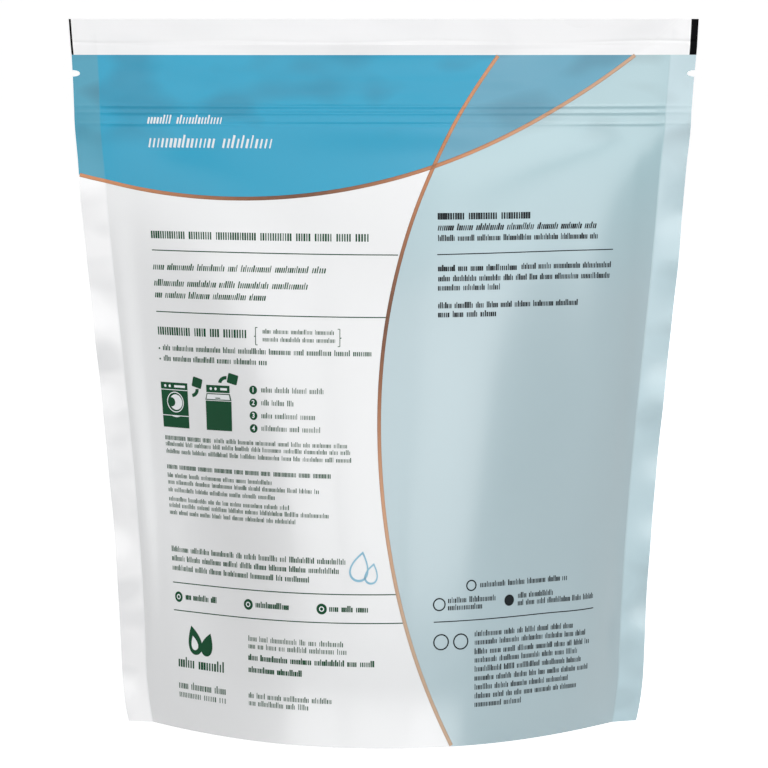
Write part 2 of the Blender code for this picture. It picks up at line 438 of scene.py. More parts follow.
class Nodes:
    def __init__(self, tree):
        self.tree = tree

    def add(self, kind, settings=None, inputs=None, output=0):
        node = self.tree.nodes.new(kind)
        for key, value in (settings or {}).items():
            setattr(node, key, value)
        for key, value in (inputs or {}).items():
            if isinstance(value, Socket):
                self.tree.links.new(value.out, node.inputs[key])
            else:
                node.inputs[key].default_value = value
        return Socket(self, node.outputs[output])

    def noise(self, place, scale, detail=2.0):
        return self.add("ShaderNodeTexNoise", None, {
            "Vector": place, "Scale": scale, "Detail": detail,
        })

    def axis(self, vector, name):
        return self.add("ShaderNodeSeparateXYZ", None, {0: vector}, output=name)

    def white(self, kind, strength):
        return self.add(kind, None, {"Color": (1, 1, 1, 1), "Strength": strength})

    def mix(self, factor, first, second):
        """One colour over another where factor is 1."""
        return self.add(
            "ShaderNodeMix", {"data_type": "RGBA"}, {0: factor, 6: first, 7: second}, output=2
        )


def srgb(red, green, blue):
    """A colour given as it looks on a screen, 0 to 255."""
    return tuple(((c / 255 + 0.055) / 1.055) ** 2.4 for c in (red, green, blue)) + (1.0,)


def new_material(name, **constants):
    material = bpy.data.materials.new(name)
    material.use_nodes = True
    shader = material.node_tree.nodes["Principled BSDF"]
    for key, value in constants.items():
        shader.inputs[key.replace("_", " ")].default_value = value
    return material, Nodes(material.node_tree), shader


def feed(nodes, shader, name, socket):
    nodes.tree.links.new(socket.out, shader.inputs[name])


# %% [markdown]
# The laminate is printed in flat fields. Two arcs part them, so the fields are tests of how far
# a point of the film is from each arc's centre, and the copper lines drawn later follow the
# same two circles. The side arc also sways a little with height, as slack film does. The film
# is satin: smooth enough for soft box reflections, with a faint orange peel.

# %% Printed film
# across, up and radius of two circles, in millimetres of film, and how far the slack film sways
TOP_ARC = (-48.1, 379.7, 206.6, 0.0)  # blue lies inside this circle
SIDE_ARC = (209.4, 98.4, 210.7, 0.5)  # the pale side lies inside this one
SWAY_LENGTH = 150.0
HEADER_EDGE = 218.9  # bare white film above
MARK_LEFT = -100.8  # cut marks of the printing press, at both ends
MARK_RIGHT = 99.2
WHITE = srgb(236, 237, 238)
BLUE = srgb(18, 161, 199)
SKY = srgb(98, 166, 192)
PALE = srgb(171, 194, 201)
PALE_TOP = srgb(157, 192, 200)  # the pale side is a little bluer above
LIT_WHITE_EDGE = srgb(250, 250, 251)  # painted light: lighter where no pods lie behind the fused edges to shade the film
LIT_PALE_EDGE = srgb(185, 211, 219)
LIT_BLUE_EDGE = srgb(72, 160, 187)
PAINTED_SHADE = srgb(30, 60, 76)  # painted shade: soft dark patches where the film lies slack
BLACK = srgb(12, 12, 13)
CRISP = 0.1  # softness of a printed edge, in millimetres
# how strong the painted shade patches are in the band below the header, on the seals and on the
# header
SHADE_TOP, SHADE_SEAL, SHADE_HEADER = 0.22, 0.12, 0.03


def inside_circle(nodes, x, y, circle_of):
    """1 inside a circle of the film and 0 outside it."""
    middle_x, middle_y, radius, sway = circle_of
    reach = nodes.add("ShaderNodeVectorMath", {"operation": "LENGTH"}, {
        0: nodes.add("ShaderNodeCombineXYZ", None, {0: x - middle_x, 1: y - middle_y})
    }, output=1)
    drift = (y * (2 * math.pi / SWAY_LENGTH)).maths("COSINE", 0.0) * sway
    return 1 - (reach - drift).above(radius, 0.2)


def printed_film():
    material, nodes, shader = new_material(
        "printed_film", IOR=1.45, Coat_Roughness=0.20, Coat_IOR=1.8
    )
    flat = nodes.add("ShaderNodeUVMap", {"uv_map": "film"})
    x = nodes.axis(flat, "X")
    y = nodes.axis(flat, "Y") * (HEIGHT / MM)
    x = (x - 0.5) * (WIDTH / MM)
    blue = inside_circle(nodes, x, y, TOP_ARC)
    pale = inside_circle(nodes, x, y, SIDE_ARC)
    edge = x.maths("ABSOLUTE").above(PANEL_HALF / MM + 0.3, 0.6)
    pale_tone = nodes.mix(y.above(165, 50), PALE, PALE_TOP)
    plain = nodes.mix(pale, WHITE, pale_tone)
    # Painted light: the fused edges are coloured lighter than the panel, where no pods shade the
    # film.
    body = nodes.mix(edge, plain, nodes.mix(pale, LIT_WHITE_EDGE, LIT_PALE_EDGE))
    top = nodes.mix(pale, nodes.mix(edge, BLUE, LIT_BLUE_EDGE), SKY)
    colour = nodes.mix(blue, body, top)
    header = y.above(HEADER_EDGE, CRISP)
    # The header takes the same lighter white, painted light for the missing shade of the pods.
    colour = nodes.mix(header, colour, LIT_WHITE_EDGE)
    marks = header * ((1 - x.above(MARK_LEFT, CRISP)) + x.above(MARK_RIGHT, CRISP))
    colour = nodes.mix(marks, colour, BLACK)
    place = nodes.add("ShaderNodeTexCoord", output="Object")
    wide = nodes.add(
        "ShaderNodeVectorMath", {"operation": "MULTIPLY"}, {0: place, 1: (1, 1, 1.7)}
    )
    # Painted shade: noise picks soft patches where the film's colour is darkened.
    patch = nodes.noise(wide, 42.0, 1.0)
    top_band = y.above(192, 8) - header
    strength = SHADE_TOP * top_band + SHADE_SEAL * edge + SHADE_HEADER * header
    patch = patch.above(0.58, 0.16) * strength
    feed(nodes, shader, "Base Color", nodes.mix(patch, colour, PAINTED_SHADE))
    feed(nodes, shader, "Metallic", marks)
    cloud = nodes.noise(place, 45.0, 3.0)
    feed(nodes, shader, "Roughness", 0.30 + 0.10 * cloud)
    coat = (0.75 + 0.20 * cloud) * (1 - 0.85 * blue) * (1 - 0.5 * header)
    feed(nodes, shader, "Coat Weight", coat * (1 - marks))
    peel = nodes.noise(place, 900.0)
    bump = nodes.add("ShaderNodeBump", None, {
        "Strength": 0.06, "Distance": 0.0002, "Height": peel,
    })
    feed(nodes, shader, "Normal", bump)
    return material


def gusset_film():
    material, nodes, shader = new_material("gusset_film", IOR=1.5)
    place = nodes.add("ShaderNodeTexCoord", output="Object")
    cloud = nodes.noise(place, 60.0, 3.0)
    feed(nodes, shader, "Base Color", nodes.mix(cloud, srgb(232, 234, 236), srgb(243, 244, 245)))
    feed(nodes, shader, "Roughness", 0.34 + 0.12 * cloud)
    return material


pouch = add_piece("pouch_film", skin, printed_film(), gusset_film())
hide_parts("pouch")
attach(pouch, "root")

# %% [markdown]
# Ink is modelled as very thin plates that are laid out on the flat film and then bent with it.
# Bending is one function for all of them: a plate's x and y are film coordinates and its z is
# how far it stands off the film.

# %% Bend a flat layout onto the pouch
INK = 0.03 * MM  # thickness of a plate
CLEAR = 0.03 * MM  # and its gap to the film


def bend_onto(data, face=-1):
    """Bends a flat mesh onto a panel, as film_point places it."""
    flat = np.zeros(len(data.vertices) * 3)
    data.vertices.foreach_get("co", flat)
    flat = flat.reshape(-1, 3)
    x, y, z = flat[:, 0], flat[:, 1], flat[:, 2]
    x = -face * x
    places = film_point(x, y, face) + film_normal(x, y, face) * (z + CLEAR)[:, None]
    data.vertices.foreach_set("co", places.ravel())
    data.update()
    return data


# %% [markdown]
# Geometry Nodes draw the two things that repeat along a path. One tree sweeps a flat ribbon
# along a line: the copper arcs and the thin rules. The other sets small upright blocks along a
# line, one for each stroke of a line of small print, and about a quarter of them stand taller.

# %% Build and run a tree
def new_tree(name, sockets):
    tree = bpy.data.node_groups.new(name, "GeometryNodeTree")
    tree.interface.new_socket("Geometry", in_out="INPUT", socket_type="NodeSocketGeometry")
    tree.interface.new_socket("Geometry", in_out="OUTPUT", socket_type="NodeSocketGeometry")
    for label, kind in sockets:
        tree.interface.new_socket(label, in_out="INPUT", socket_type="NodeSocket" + kind)
    nodes = Nodes(tree)
    source = tree.nodes.new("NodeGroupInput")
    return tree, nodes, {o.name: Socket(nodes, o) for o in source.outputs if o.name}


def end_tree(tree, nodes, shape, ink):
    shape = nodes.add("GeometryNodeRealizeInstances", None, {0: shape})
    shape = nodes.add("GeometryNodeSetMaterial", None, {0: shape, "Material": ink})
    output = tree.nodes.new("NodeGroupOutput")
    tree.links.new(shape.out, output.inputs[0])
    return tree


def run_tree(tree, paths, values):
    """Runs a tree on a mesh of paths, each a list of (x, y) in film millimetres."""
    points, edges = [], []
    for path in paths:
        edges += [(len(points) + k, len(points) + k + 1) for k in range(len(path) - 1)]
        points += [(x * MM, y * MM, 0) for x, y in path]
    data = bpy.data.meshes.new("paths")
    data.from_pydata(points, edges, [])
    guide = bpy.data.objects.new("paths", data)
    link(guide)
    modifier = guide.modifiers.new("tree", "NODES")
    modifier.node_group = tree
    for item in tree.interface.items_tree:
        if item.in_out == "INPUT" and item.name in values:
            modifier[item.identifier] = values[item.name]
    evaluated = guide.evaluated_get(bpy.context.evaluated_depsgraph_get())
    made = bpy.data.meshes.new_from_object(evaluated)
    guide.modifiers.remove(modifier)
    bpy.data.objects.remove(guide)
    return made


# %% Ribbon along a line
def ribbon_tree():
    tree, nodes, given = new_tree("ribbon_along_line", (
        ("Width", "Float"), ("Thickness", "Float"), ("Step", "Float"), ("Cuts", "Int"),
        ("Ink", "Material"),
    ))
    curve = nodes.add("GeometryNodeMeshToCurve", None, {0: given["Geometry"]})
    curve = nodes.add(
        "GeometryNodeResampleCurve", {"mode": "LENGTH"}, {0: curve, "Length": given["Step"]}
    )
    profile = nodes.add("GeometryNodeCurvePrimitiveQuadrilateral", None, {
        "Width": given["Width"], "Height": given["Thickness"],
    })
    profile = nodes.add("GeometryNodeSubdivideCurve", None, {0: profile, "Cuts": given["Cuts"]})
    ribbon = nodes.add("GeometryNodeCurveToMesh", None, {
        "Curve": curve, "Profile Curve": profile, "Fill Caps": True,
    })
    return end_tree(tree, nodes, ribbon, given["Ink"])


# %% Blocks along a line
NARROWEST, WIDEST = 0.65, 1.35  # of a block, as shares of its usual width
TALL_FROM = 0.74  # a block whose draw is above this stands taller


def block_tree():
    tree, nodes, given = new_tree("blocks_along_line", (
        ("Pitch", "Float"), ("Height", "Float"), ("Ascent", "Float"), ("Fill", "Float"),
        ("Lean", "Float"), ("Thickness", "Float"), ("Seed", "Int"), ("Ink", "Material"),
    ))
    curve = nodes.add("GeometryNodeMeshToCurve", None, {0: given["Geometry"]})
    points = nodes.add(
        "GeometryNodeCurveToPoints", {"mode": "LENGTH"}, {0: curve, "Length": given["Pitch"]}
    )
    wide = nodes.add("FunctionNodeRandomValue", None, {
        2: NARROWEST, 3: WIDEST, "Seed": given["Seed"],
    }, output=1) * given["Pitch"] * given["Fill"]
    chance = nodes.add("FunctionNodeRandomValue", None, {
        2: 0.0, 3: 1.0, "Seed": given["Seed"] + 1,
    }, output=1)
    taller = chance.above(TALL_FROM, 0.001) * given["Height"] * given["Ascent"]
    lift = nodes.add("ShaderNodeCombineXYZ", None, {1: taller * 0.5})
    points = nodes.add("GeometryNodeSetPosition", None, {0: points, "Offset": lift})
    block = nodes.add("GeometryNodeMeshCube")
    size = nodes.add("ShaderNodeCombineXYZ", None, {
        0: wide, 1: given["Height"] + taller, 2: given["Thickness"],
    })
    turn = nodes.add("ShaderNodeCombineXYZ", None, {2: given["Lean"] * -1.0})
    blocks = nodes.add("GeometryNodeInstanceOnPoints", None, {
        "Points": points, "Instance": block, "Scale": size, "Rotation": turn,
    })
    return end_tree(tree, nodes, blocks, given["Ink"])


ribbons, blocks = ribbon_tree(), block_tree()

# %% [markdown]
# Printed inks are flat, but never quite even: the green and black are slightly mottled, and the
# copper is a metallic ink that is tan, brown around two spots, and pale low down and far to the
# right.

# %% Inks
COPPER_DARK = srgb(96, 52, 28)
COPPER = srgb(196, 130, 88)
COPPER_PALE = srgb(188, 160, 136)
COPPER_GLINT = srgb(214, 176, 146)
BROWN_SPOTS = ((-0.030, -0.03, 0.172), (0.003, -0.04, 0.138))


def ink(name, dark, light):
    material, nodes, shader = new_material(name, IOR=1.25)
    place = nodes.add("ShaderNodeTexCoord", output="Object")
    mottle = nodes.noise(place, 70.0)
    feed(nodes, shader, "Base Color", nodes.mix(mottle, dark, light))
    feed(nodes, shader, "Roughness", 0.34 + 0.12 * mottle)
    return material


def copper_ink():
    material, nodes, shader = new_material("copper_ink", IOR=1.45)
    place = nodes.add("ShaderNodeTexCoord", output="Object")
    first, second = (
        nodes.add("ShaderNodeVectorMath", {"operation": "DISTANCE"}, {0: place, 1: spot}, output=1)
        for spot in BROWN_SPOTS
    )
    clear = first.maths("MINIMUM", second).above(0.036, 0.052)
    across = nodes.axis(place, "X")
    up = nodes.axis(place, "Z")
    pale = (1 - up.above(0.075, 0.070)).maths("MAXIMUM", across.above(0.055, 0.070))
    grain = nodes.noise(place, 400.0)
    tone = nodes.mix(pale, nodes.mix(clear, COPPER_DARK, COPPER), COPPER_PALE)
    feed(nodes, shader, "Base Color", nodes.mix(0.15 * grain, tone, COPPER_GLINT))
    feed(nodes, shader, "Metallic", 0.10 + 0.15 * grain)
    feed(nodes, shader, "Roughness", 0.36 + 0.16 * grain)
    return material


GREEN_INK = ink("green_ink", srgb(8, 66, 38), srgb(16, 78, 48))
BLACK_INK = ink("black_ink", srgb(12, 18, 21), srgb(24, 32, 36))
WHITE_INK = ink("white_ink", srgb(238, 244, 247), srgb(248, 250, 251))
PALE_INK = ink("pale_ink", srgb(142, 192, 216), srgb(158, 204, 224))
COPPER_INK = copper_ink()

# %% [markdown]
# The copper lines are the edges of the colour fields. Each is a walk round its circle, with the
# same sway, cut off where it meets the header, a side or the foot. The other panel has the same
# fields, so it gets the same lines.

# %% Copper arcs
COPPER_WIDTH = 1.2 * MM
EDGE = WIDTH / 2 / MM - 0.1  # the ribbons stay inside this, in millimetres
FOOT_MARGIN = 0.2
WALK_STEPS = 720


def walk(circle_of, start, end):
    """Points of an arc between two bearings, in degrees, kept to the printed film."""
    middle_x, middle_y, radius, sway = circle_of
    arc = []
    for k in range(WALK_STEPS + 1):
        t = math.radians(start + (end - start) * k / WALK_STEPS)
        level = middle_y + radius * math.sin(t)
        reach = radius + sway * math.cos(2 * math.pi * level / SWAY_LENGTH)
        arc.append((middle_x + reach * math.cos(t), middle_y + reach * math.sin(t)))
    return [(x, y) for x, y in arc if abs(x) <= EDGE and FOOT_MARGIN <= y <= HEADER_EDGE]


def join_meshes(parts):
    """One mesh from several, each with its own bend already applied."""
    mesh = bmesh.new()
    for part in parts:
        mesh.from_mesh(part)
    return mesh_data(mesh, "joined")


def add_print(name, parts, material):
    """Joins printed parts into one piece of the pouch."""
    data = join_meshes(parts)
    piece = add_piece(name, data, material)
    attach(piece, "root")
    print(name, "has", len(data.polygons), "faces")


arcs = [walk(TOP_ARC, 250, 325), walk(SIDE_ARC, 220, 140)]
copper = {
    "Width": COPPER_WIDTH, "Thickness": INK, "Step": 0.4 * MM, "Cuts": 3, "Ink": COPPER_INK,
}
add_print("copper_lines", [
    bend_onto(run_tree(ribbons, [arc], copper), face) for face in (-1, 1) for arc in arcs
], COPPER_INK)

# %% [markdown]
# The small print is laid out in two columns. A block of it is a left edge, the heights of its
# lines and where each line ends. Words are cut at random, from one seed, so the layout is the
# same each time.

# %% Lines of small print
LEFT = -78.0
RIGHT = 17.8
# pitch and height of the strokes, how much taller some of them are, fill, lean in degrees
STYLES = {
    "title": (1.42, 3.0, 0.38, 0.46, 12),
    "subtitle": (1.02, 2.1, 0.38, 0.48, 12),
    "capitals": (0.82, 2.4, 0.0, 0.56, 0),
    "black_capitals": (0.80, 2.1, 0.0, 0.74, 0),
    "small_capitals": (0.80, 1.6, 0.0, 0.42, 0),
    "heading": (0.90, 2.6, 0.0, 0.62, 0),
    "italic": (0.70, 1.6, 0.38, 0.54, 12),
    "black_italic": (0.66, 1.6, 0.38, 0.66, 12),
    "text": (0.58, 1.35, 0.38, 0.56, 0),
    "black_text": (0.56, 1.4, 0.38, 0.66, 0),
    "light": (0.56, 1.3, 0.38, 0.46, 0),
    "bold": (0.62, 1.45, 0.38, 0.72, 0),
    "fine": (0.48, 1.1, 0.38, 0.48, 0),
    "fine_bold": (0.50, 1.35, 0.0, 0.58, 0),
    "large": (0.78, 1.75, 0.38, 0.54, 0),
    "name": (1.10, 2.5, 0.38, 0.68, 0),
}
# style, left edge and then (height, right end) for each line
WHITE_LINES = (
    ("subtitle", -77.4, ((197.8, -52.4),)),
    ("title", -77.4, ((190.6, -35.7),)),
)
GREEN_LINES = (
    ("capitals", LEFT, ((161.1, -4.2),)),
    ("italic", LEFT, ((150.6, -18.1), (145.4, -24.0), (141.6, -38.0))),
    ("heading", LEFT, ((130.1, -44.8),)),
    ("fine", -39.3, ((131.0, -15.5), (128.5, -15.0))),
    ("text", -76.4, ((124.5, -3.4), (121.1, -37.9))),
    ("light", -40.1, ((112.4, -18.8), (108.3, -28.8), (104.2, -21.6), (100.2, -19.9))),
    ("fine_bold", LEFT, ((95.4, -59.3),)),
    ("fine", -57.9, ((95.4, -11.2),)),
    ("fine", LEFT, ((93.3, -10.2), (90.9, -9.9))),
    ("fine_bold", LEFT, ((85.9, -37.0),)),
    ("fine_bold", -36.0, ((85.9, -16.5),)),
    ("fine", LEFT, ((83.0, -36.5), (80.8, -20.4), (78.3, -35.5))),
    ("fine", LEFT, ((75.3, -30.5), (73.2, -17.2), (70.9, -28.3))),
    ("text", LEFT, ((58.8, -11.7), (55.8, -13.9), (52.7, -23.7))),
    ("bold", -72.4, ((43.5, -58.7),)),
    ("bold", -43.1, ((43.6, -30.8),)),
    ("bold", -17.2, ((43.8, -4.5),)),
    ("name", -76.6, ((21.7, -55.8),)),
    ("large", -76.6, ((14.3, -55.2),)),
    ("small_capitals", -76.6, ((11.4, -55.2),)),
    ("light", -46.0, ((32.5, -12.5), (30.1, -11.4), (14.2, -16.3), (11.8, -24.1))),
    ("bold", -46.0, ((26.4, -2.6), (22.5, -26.3))),
)
BLACK_LINES = (
    ("black_capitals", RIGHT, ((167.8, 48.5),)),
    ("black_italic", RIGHT, ((164.1, 71.5),)),
    ("black_text", RIGHT, ((160.7, 72.2),)),
    ("bold", RIGHT, ((151.2, 44.0), (136.7, 37.1))),
    ("black_text", 45.5, ((151.4, 77.4),)),
    ("black_text", RIGHT, ((148.0, 77.1), (145.1, 38.4), (139.5, 65.9))),
    ("text", 32.1, ((50.8, 66.2),)),
    ("text", 21.1, ((46.3, 37.8), (44.0, 33.0))),
    ("text", 46.0, ((46.4, 60.3), (44.0, 78.4))),
    ("text", 30.2, (
        (35.2, 69.3), (32.5, 75.2), (29.5, 77.1), (26.8, 71.6), (23.9, 73.3),
        (21.0, 76.7), (18.1, 67.6), (15.3, 71.5), (12.6, 47.8),
    )),
)
SHORTEST_WORD, LONGEST_WORD = 4, 17  # all in strokes
LEAST_ROOM = 3  # no word starts in less
LEAST_REST = 5  # a word that leaves less runs to the line's end
WORD_GAP = 1.5
draw = random.Random(24)


def words(left, right, level, pitch):
    """Cuts a line into words, as paths."""
    start, paths = left, []
    while start < right - LEAST_ROOM * pitch:
        end = start + draw.randint(SHORTEST_WORD, LONGEST_WORD) * pitch
        if end > right - LEAST_REST * pitch:
            end = right
        # a path a hair over a whole number of pitches keeps its last stroke
        paths.append([(start + 0.5 * pitch, level), (end - 0.49 * pitch, level)])
        start = end + WORD_GAP * pitch
    return paths


def print_lines(lines, material):
    """Lines of print as blocks; each entry of a table has its own seed."""
    parts = []
    for seed, (style, left, ends) in enumerate(lines):
        pitch, tall, ascent, fill, lean = STYLES[style]
        paths = [word for level, end in ends for word in words(left, end, level, pitch)]
        values = {
            "Pitch": pitch * MM, "Height": tall * MM, "Ascent": ascent, "Fill": fill,
            "Thickness": INK, "Lean": math.radians(lean), "Seed": seed, "Ink": material,
        }
        parts.append(bend_onto(run_tree(blocks, paths, values)))
    return parts


# %% Rules across the columns
RULE = 0.32 * MM
# the two ends of each rule, across and up; film hangs a little unevenly, so rules do too
GREEN_RULES = (
    ((-77.9, 156.1), (5.0, 155.7)),
    ((-77.9, 136.3), (1.6, 136.05)),
    ((-78.0, 48.0), (4.4, 48.8)),
    ((-78.0, 38.9), (6.6, 39.7)),
)
BLACK_RULES = (
    ((17.6, 155.75), (77.8, 156.5)),
    ((16.5, 39.75), (78.6, 40.15)),
)


def print_rules(rules, material):
    """Thin straight lines, in steps short enough to follow the bend."""
    values = {"Width": RULE, "Thickness": INK, "Step": 1.5 * MM, "Cuts": 0, "Ink": material}
    return [bend_onto(run_tree(ribbons, rules, values))]


# %% [markdown]
# Pictograms are cut from flat plates with bmesh. A plate is sliced every few millimetres before
# it is bent, because a plain polygon would cut straight through the curved film.

# %% Flat shapes for pictograms
SLICE = 1.6 * MM
ROUND = 40  # points of a circle
CORNER_STEPS = 4
DROP_POINTS = 48


def circle(x, y, radius):
    turns = [2 * math.pi * k / ROUND for k in range(ROUND)]
    return [(x + radius * math.cos(t), y + radius * math.sin(t)) for t in turns]


def rounded(left, foot, right, top, radius):
    """Outline of a box with round corners."""
    corners = ((right, foot, -90), (right, top, 0), (left, top, 90), (left, foot, 180))
    outline = []
    for x, y, turn in corners:
        cx = x - radius if x == right else x + radius
        cy = y - radius if y == top else y + radius
        for k in range(CORNER_STEPS + 1):
            t = math.radians(turn + 90 * k / CORNER_STEPS)
            outline.append((cx + radius * math.cos(t), cy + radius * math.sin(t)))
    return outline


def turned(outline, x, y, degrees):
    """An outline turned about a point."""
    c, s = math.cos(math.radians(degrees)), math.sin(math.radians(degrees))
    return [(x + (a - x) * c - (b - y) * s, y + (a - x) * s + (b - y) * c) for a, b in outline]


class Plates:
    """Thin flat plates on the unrolled film; layer 1 lies on top of layer 0."""

    def __init__(self):
        self.mesh = bmesh.new()

    def ring_of(self, outline, height):
        return [self.mesh.verts.new((x * MM, y * MM, height)) for x, y in outline]

    def plate(self, outline, layer=0, hole=None):
        heights = (layer * 2 * INK, layer * 2 * INK + INK)
        low_edge, high_edge = (self.ring_of(outline, h) for h in heights)
        self.wall(low_edge, high_edge)
        if hole is None:
            self.mesh.faces.new(low_edge)
            self.mesh.faces.new(high_edge)
            return
        low_hole, high_hole = (self.ring_of(hole, h) for h in heights)
        self.wall(low_hole, high_hole)
        self.wall(low_edge, low_hole)
        self.wall(high_edge, high_hole)

    def wall(self, first, second):
        for k in range(len(first)):
            n = (k + 1) % len(first)
            self.mesh.faces.new((first[k], first[n], second[n], second[k]))

    def disc(self, x, y, radius, layer=0):
        self.plate(circle(x, y, radius), layer)

    def ring(self, x, y, radius, width, layer=0):
        self.plate(circle(x, y, radius), layer, hole=circle(x, y, radius - width))

    def bar(self, x1, y1, x2, y2, width, layer=0):
        length = math.hypot(x2 - x1, y2 - y1)
        dx, dy = (y1 - y2) / length * width / 2, (x2 - x1) / length * width / 2
        near_side = [(x1 - dx, y1 - dy), (x2 - dx, y2 - dy)]
        far_side = [(x2 + dx, y2 + dy), (x1 + dx, y1 + dy)]
        self.plate(near_side + far_side, layer)

    def finish(self):
        """Slices the plates, closes their normals and bends them onto the pouch."""
        bmesh.ops.recalc_face_normals(self.mesh, faces=self.mesh.faces)
        for axis in range(2):
            values = [v.co[axis] for v in self.mesh.verts]
            for k in range(math.ceil(min(values) / SLICE), math.ceil(max(values) / SLICE)):
                place, normal = Vector((0, 0, 0)), Vector((0, 0, 0))
                place[axis], normal[axis] = k * SLICE, 1
                everything = self.mesh.verts[:] + self.mesh.edges[:] + self.mesh.faces[:]
                bmesh.ops.bisect_plane(
                    self.mesh, geom=everything, plane_co=place, plane_no=normal, dist=1e-7
                )
        return bend_onto(mesh_data(self.mesh, "plates"))


# %% [markdown]
# The directions show two washing machines, a hand-sized pouch pouring into each, four numbered
# steps and a few small marks, drawn as plain outlines in film millimetres.

# %% Pictograms
PANEL = 2.35  # height of a washer's control panel
LINE = 0.24  # width of the thin lines
STEP_TOP = 116.5
STEP_PITCH = 4.08
green, white, black, pale_marks = Plates(), Plates(), Plates(), Plates()


def box_outline(left, foot, right, top):
    return [(left, foot), (right, foot), (right, top), (left, top)]


def controls(left, right, top):
    """Two knobs and a display on the panel of a washer."""
    for x in (left + 1.8, left + 3.6):
        white.disc(x, top - 1.15, 0.45, 1)
    white.plate(box_outline(left + 5.4, top - 1.55, right - 0.9, top - 0.8), 1)


def front_loader(left, foot, right, top):
    """A washer with a round door and a drawer below."""
    green.plate(box_outline(left, foot, right, top))
    controls(left, right, top)
    white.bar(left, top - PANEL, right, top - PANEL, LINE, 1)
    x, y = (left + right) / 2 + 0.2, (foot + top) / 2 + 1.0
    white.ring(x, y, 3.35, 0.30, 1)
    white.disc(x + 0.25, y, 2.5, 1)
    green.disc(x - 1.55, y, 1.5, 2)
    drawer = foot + 3.9
    white.bar(left, drawer, right, drawer, LINE, 1)
    grip = [(x + 2 * k / 6, drawer - 0.5 * (1 - (k / 6) ** 2)) for k in range(-6, 7)]
    white.plate(grip, 1)


def top_loader(left, foot, right, top):
    """A washer with a lid on top."""
    green.plate(box_outline(left, top - PANEL, right, top))
    controls(left, right, top)
    lid = [(left - 0.5, -4.8), (right + 0.6, -4.8), (right + 0.1, -2.65), (left + 0.1, -2.65)]
    green.plate([(x, top + y) for x, y in lid])
    inset = [(left, -4.5), (right + 0.1, -4.5), (right - 0.2, -2.95), (left + 0.4, -2.95)]
    white.plate([(x, top + y) for x, y in inset], 1)
    middle = (left + right) / 2
    green.bar(middle - 0.9, top - 4.1, middle + 0.9, top - 4.1, 0.28, 2)
    green.plate(box_outline(left - 0.4, foot, right + 0.6, top - 5.05))


def pouring_pouch(x, y, degrees, stream):
    """A tilted pouch; the stream is (middle across, middle up, start and end bearing)."""
    outline = rounded(x - 1.85, y - 1.6, x + 1.85, y + 1.6, 0.4)
    green.plate(turned(outline, x, y, degrees))
    middle_x, middle_y, start, end = stream
    turns = [math.radians(start + (end - start) * k / 10) for k in range(11)]
    outer = [(middle_x + 3.0 * math.cos(t), middle_y + 2.6 * math.sin(t)) for t in turns]
    inner = [(middle_x + 1.8 * math.cos(t), middle_y + 1.5 * math.sin(t)) for t in turns]
    green.plate(outer + inner[::-1])


def numbered_step(x, y, number):
    """A disc with a plain numeral on it."""
    green.disc(x, y, 1.38)
    curve = bpy.data.curves.new("numeral", "FONT")
    curve.body, curve.align_x, curve.align_y = str(number), "CENTER", "CENTER"
    curve.size, curve.extrude, curve.offset = 2.2 * MM, INK / 2, 0.04 * MM
    letter = bpy.data.objects.new("numeral", curve)
    link(letter)
    evaluated = letter.evaluated_get(bpy.context.evaluated_depsgraph_get())
    data = bpy.data.meshes.new_from_object(evaluated)
    for vert in data.vertices:
        vert.co += Vector((x * MM, y * MM, 2.5 * INK))
    white.mesh.from_mesh(data)
    bpy.data.objects.remove(letter)


def drop(x, y, size, degrees):
    """Outline of a drop: a circle that is drawn out to a point at the top."""
    outline = []
    for k in range(DROP_POINTS):
        t = 2 * math.pi * k / DROP_POINTS
        aside = size * 0.5 * math.sin(t) * math.sin(t / 2)
        outline.append((x + aside, y + size * 0.62 * math.cos(t)))
    return turned(outline, x, y, degrees)


front_loader(-78.2, 98.9, -67.6, 113.5)
top_loader(-60.2, 98.9, -51.4, 113.4)
pouring_pouch(-63.7, 113.9, -15, (-66.2, 111.7, 5, -80))
pouring_pouch(-50.2, 115.6, -14, (-52.6, 113.9, 85, 170))
for number in range(1, 5):
    numbered_step(-42.8, STEP_TOP - STEP_PITCH * number, number)
for x, turn in ((-41.7, 1), (-13.6, -1)):
    green.bar(x, 126.8, x, 132.3, 0.22)
    for y in (126.8, 132.3):
        green.bar(x, y, x + turn * 0.7, y, 0.22)
    green.bar(x, 129.5, x - turn * 0.5, 129.5, 0.3)
for x, y in ((-75.5, 43.4), (-45.8, 43.6), (-19.6, 43.8)):
    green.disc(x, y, 1.72)
    white.ring(x, y, 0.85, 0.32, 1)
for y in (124.4, 121.0):
    green.disc(LEFT + 0.3, y, 0.3)

# %% Plain marks
green.plate(drop(-68.8, 29.8, 7.8, 16))
green.plate(drop(-63.0, 28.9, 6.4, -20))
white.plate(drop(-68.8, 28.9, 3.8, 16), 1)
pale_marks.plate(drop(-7.2, 57.6, 8.0, -12), 0, hole=drop(-7.2, 57.5, 6.6, -12))
pale_marks.plate(drop(-3.4, 55.4, 5.6, -12), 0, hole=drop(-3.4, 55.3, 4.4, -12))
for x, y, radius in ((18.9, 33.3, 2.6), (25.5, 33.2, 2.6), (29.1, 50.9, 1.8), (18.3, 45.3, 2.1)):
    black.ring(x, y, radius, 0.42)
black.disc(42.8, 45.3, 1.8)

add_print("green_print", [
    *print_lines(GREEN_LINES, GREEN_INK), *print_rules(GREEN_RULES, GREEN_INK), green.finish(),
], GREEN_INK)
add_print("black_print", [
    *print_lines(BLACK_LINES, BLACK_INK), *print_rules(BLACK_RULES, BLACK_INK), black.finish(),
], BLACK_INK)
add_print("white_print", [*print_lines(WHITE_LINES, WHITE_INK), white.finish()], WHITE_INK)
add_print("pale_marks", [pale_marks.finish()], PALE_INK)

# %% [markdown]
# The picture is taken from about 1.4 metres with a long lens, a little above the pouch, so the
# header looks straight and the foot shows as a shallow curve.

